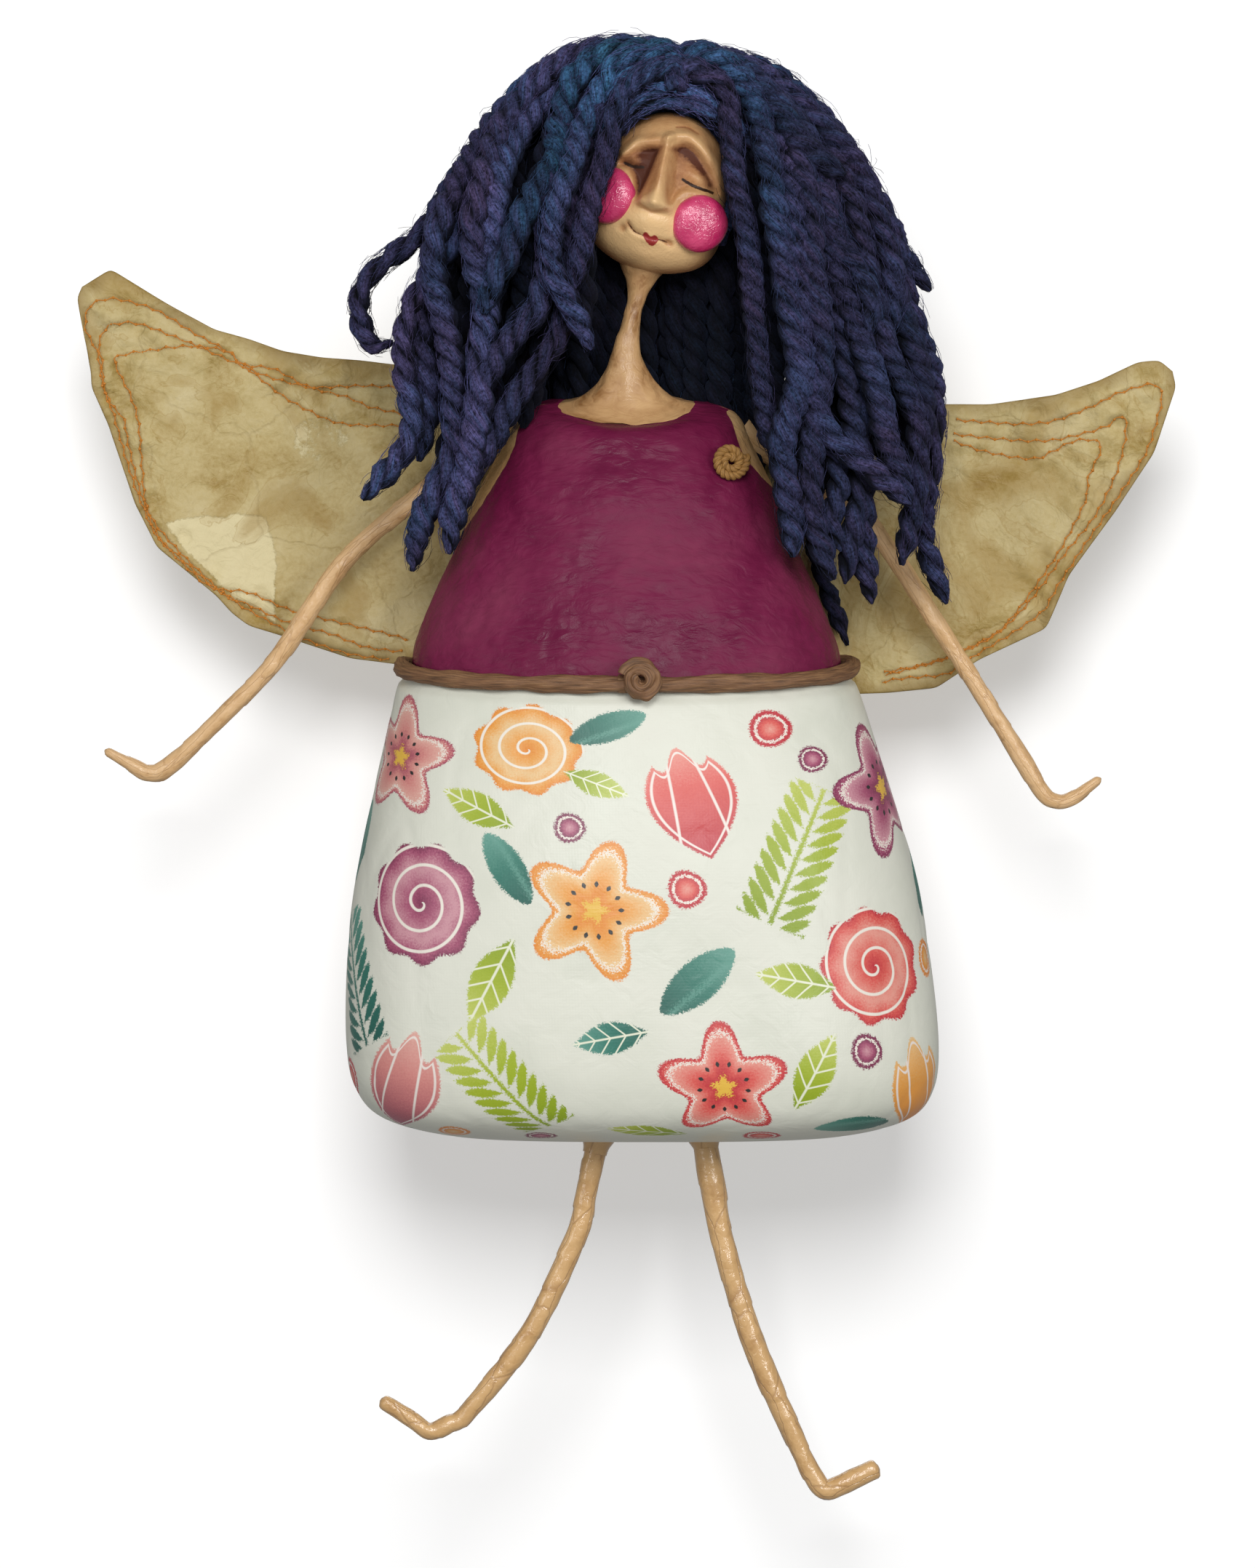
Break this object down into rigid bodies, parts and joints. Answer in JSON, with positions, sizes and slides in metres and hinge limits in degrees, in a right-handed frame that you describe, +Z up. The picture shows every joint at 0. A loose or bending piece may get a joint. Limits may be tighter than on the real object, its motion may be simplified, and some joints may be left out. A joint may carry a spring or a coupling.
{
  "type": "papier-mache angel doll",
  "caption": "Wall-hung papier-mache angel doll with wire-bent arms and legs, sewn paper wings that flex, a fabric-covered skirt and thick wool hair.",
  "frame": {"origin": "inside top of the wire loop on the back, where the nail holds the doll", "axes": "+Z up, the doll faces -Y and the wall is at +Y, its left arm is at +X"},
  "size_m": [0.3152, 0.0785, 0.4176],
  "materials": {
    "burgundy_paint": "satin",
    "papier_mache": "matte",
    "printed_cotton": "satin",
    "newsprint": "matte",
    "skin_paint": "satin",
    "face_paint": "satin",
    "cheek_gloss": "gloss",
    "wool": "matte",
    "brown_paper_cord": "satin",
    "ochre_paper_cord": "matte",
    "stained_paper": "matte",
    "card": "matte",
    "steel_wire": "satin"
  },
  "bodies": {
    "body": {"bodice_shell": "burgundy_paint", "skirt_shell": "papier_mache", "skirt_fabric": "printed_cotton", "paper_core": "newsprint", "neck_yoke": "skin_paint", "head": "face_paint", "left_cheek": "cheek_gloss", "right_cheek": "cheek_gloss", "wig_cap": "wool", "belt_cord": "brown_paper_cord", "belt_rosette": "brown_paper_cord", "chest_rosette": "ochre_paper_cord", "wing_root": "stained_paper", "back_card": "card", "hanging_loop": "steel_wire", "neck_wire": "steel_wire", "shoulder_wire": "steel_wire", "hip_wire": "steel_wire", "right_leg_collar": "printed_cotton", "right_shoulder_collar": "skin_paint", "left_leg_collar": "printed_cotton", "left_shoulder_collar": "skin_paint", "right_hair_lock_01": "wool", "right_hair_lock_02": "wool", "right_hair_lock_03": "wool", "right_hair_lock_04": "wool", "right_hair_lock_05": "wool", "right_hair_lock_06": "wool", "right_hair_lock_07": "wool", "right_hair_lock_08": "wool", "right_hair_lock_09": "wool", "right_hair_lock_10": "wool", "right_hair_lock_11": "wool", "left_hair_lock_01": "wool", "left_hair_lock_02": "wool", "left_hair_lock_03": "wool", "left_hair_lock_04": "wool", "left_hair_lock_05": "wool", "left_hair_lock_06": "wool", "left_hair_lock_07": "wool", "left_hair_lock_08": "wool", "left_hair_lock_09": "wool", "left_hair_lock_10": "wool", "left_hair_lock_11": "wool", "nape_hair_lock_1": "wool", "nape_hair_lock_2": "wool", "nape_hair_lock_3": "wool", "nape_hair_lock_4": "wool", "nape_hair_lock_5": "wool"},
    "right_arm": {"right_arm": "skin_paint", "right_arm_wire": "steel_wire"},
    "right_leg": {"right_leg": "skin_paint", "right_leg_wire": "steel_wire"},
    "right_wing": {"right_wing": "stained_paper"},
    "left_arm": {"left_arm": "skin_paint", "left_arm_wire": "steel_wire"},
    "left_leg": {"left_leg": "skin_paint", "left_leg_wire": "steel_wire"},
    "left_wing": {"left_wing": "stained_paper"}
  },
  "joints": [
    {"name": "right_shoulder", "type": "hinge", "parent": "body", "child": "right_arm", "pos_m": [-0.041, -0.01595, -0.0093], "axis": [0, 1, 0], "range_deg": [-20, 25]},
    {"name": "left_shoulder", "type": "hinge", "parent": "body", "child": "left_arm", "pos_m": [0.0375, -0.01595, -0.0123], "axis": [0, -1, 0], "range_deg": [-15, 25]},
    {"name": "right_hip", "type": "hinge", "parent": "body", "child": "right_leg", "pos_m": [-0.0129, -0.02795, -0.2179], "axis": [-1, 0, 0], "range_deg": [-10, 35]},
    {"name": "left_hip", "type": "hinge", "parent": "body", "child": "left_leg", "pos_m": [0.0209, -0.02795, -0.2182], "axis": [-1, 0, 0], "range_deg": [-10, 35]},
    {"name": "right_wing_flex", "type": "hinge", "parent": "body", "child": "right_wing", "pos_m": [-0.024, -0.00265, -0.0283], "axis": [0, 0, -1], "range_deg": [-3, 20], "stiffness_Nm_per_rad": 0.03},
    {"name": "left_wing_flex", "type": "hinge", "parent": "body", "child": "left_wing", "pos_m": [0.024, -0.00265, -0.0283], "axis": [0, 0, 1], "range_deg": [-3, 20], "stiffness_Nm_per_rad": 0.03}
  ]
}
